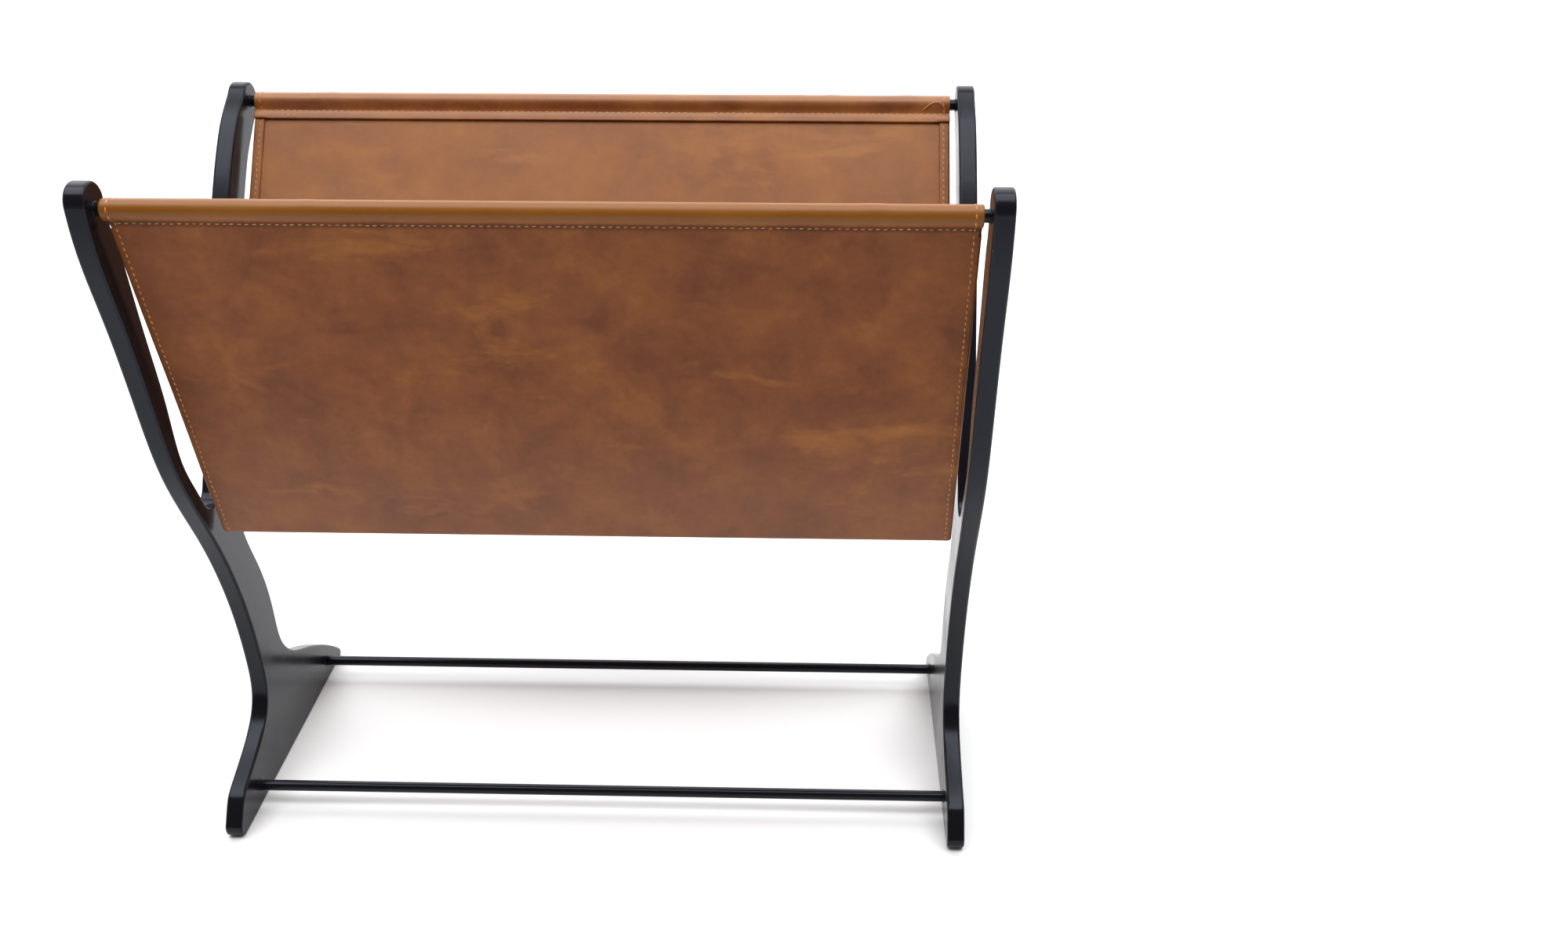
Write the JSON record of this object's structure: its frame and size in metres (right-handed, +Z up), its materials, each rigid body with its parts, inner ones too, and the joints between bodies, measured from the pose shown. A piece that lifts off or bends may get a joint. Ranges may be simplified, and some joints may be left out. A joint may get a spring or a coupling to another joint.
{
  "type": "magazine rack",
  "caption": "Magazine rack with a folded leather sling hung between rods on two black forked end frames with low feet.",
  "frame": {"origin": "on the floor, at the middle of the rack's length and depth", "axes": "+X along the rods towards the right end frame, -Y to the front, +Z up"},
  "size_m": [0.43, 0.221, 0.3958],
  "materials": {
    "frame_lacquer": "gloss",
    "rod_lacquer": "gloss",
    "screw_steel": "satin",
    "sling_leather": "waxed, mottled",
    "sewing_thread": "waxed thread"
  },
  "bodies": {
    "root": {"right_end_frame": "frame_lacquer", "left_end_frame": "frame_lacquer", "front_top_rod": "rod_lacquer", "rear_top_rod": "rod_lacquer", "front_lower_rod": "rod_lacquer", "rear_lower_rod": "rod_lacquer", "right_front_top_screw": "screw_steel", "right_rear_top_screw": "screw_steel", "right_front_lower_screw": "screw_steel", "right_rear_lower_screw": "screw_steel", "left_front_top_screw": "screw_steel", "left_rear_top_screw": "screw_steel", "left_front_lower_screw": "screw_steel", "left_rear_lower_screw": "screw_steel", "leather_sling": "sling_leather", "front_sleeve_stitching": "sewing_thread", "rear_sleeve_stitching": "sewing_thread", "right_hem_stitching": "sewing_thread", "left_hem_stitching": "sewing_thread"}
  },
  "joints": []
}
